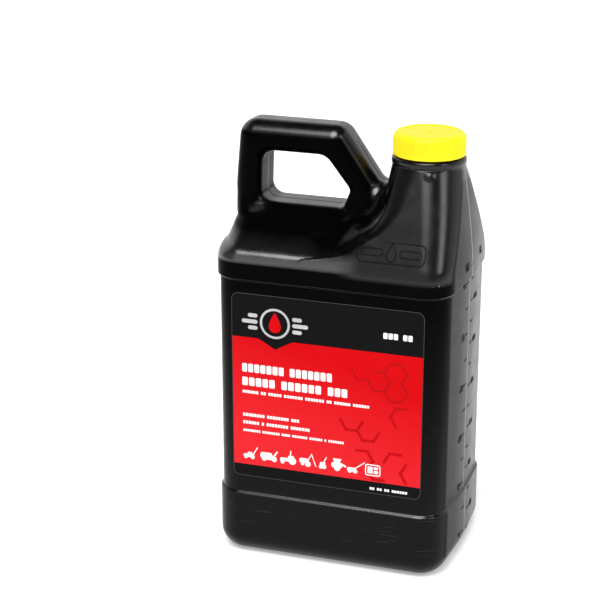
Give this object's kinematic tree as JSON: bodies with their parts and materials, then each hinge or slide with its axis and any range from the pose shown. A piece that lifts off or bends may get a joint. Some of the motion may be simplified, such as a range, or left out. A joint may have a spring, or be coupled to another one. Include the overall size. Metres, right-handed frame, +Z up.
{
  "type": "engine oil jug",
  "caption": "Blow-moulded rectangular oil jug with a moulded side handle, an offset threaded neck, a ribbed screw cap on a real thread, a foil seal, labels and its oil fill.",
  "frame": {"origin": "centre of the base, on the surface the jug stands on", "axes": "+Z up; +X towards the side below the neck, so the handle is on the -X side; the front label faces -Y"},
  "size_m": [0.12, 0.086, 0.2195],
  "materials": {
    "black_hdpe": "satin",
    "yellow_pp": "satin",
    "foam_liner": "matte",
    "foil": "satin",
    "label_film": "satin",
    "oil": "gloss"
  },
  "bodies": {
    "jug": {"bottle": "black_hdpe", "foil_seal": "foil", "front_label": "label_film", "back_label": "label_film", "oil_fill": "oil"},
    "liner": {"cap_liner": "foam_liner"},
    "cap": {"screw_cap": "yellow_pp"}
  },
  "joints": [
    {"name": "cap_lift", "type": "slide", "parent": "jug", "child": "liner", "axis": [0, 0, 1], "range_m": [0, 0.0127]},
    {"name": "cap_turn", "type": "hinge", "parent": "liner", "child": "cap", "pos_m": [0.038, 0, 0.208], "axis": [0, 0, 1], "range_deg": [0, 1080]}
  ],
  "couplings": [
    {"joint": "cap_lift", "follows": "cap_turn", "m_per_rad": 0.00067376}
  ]
}
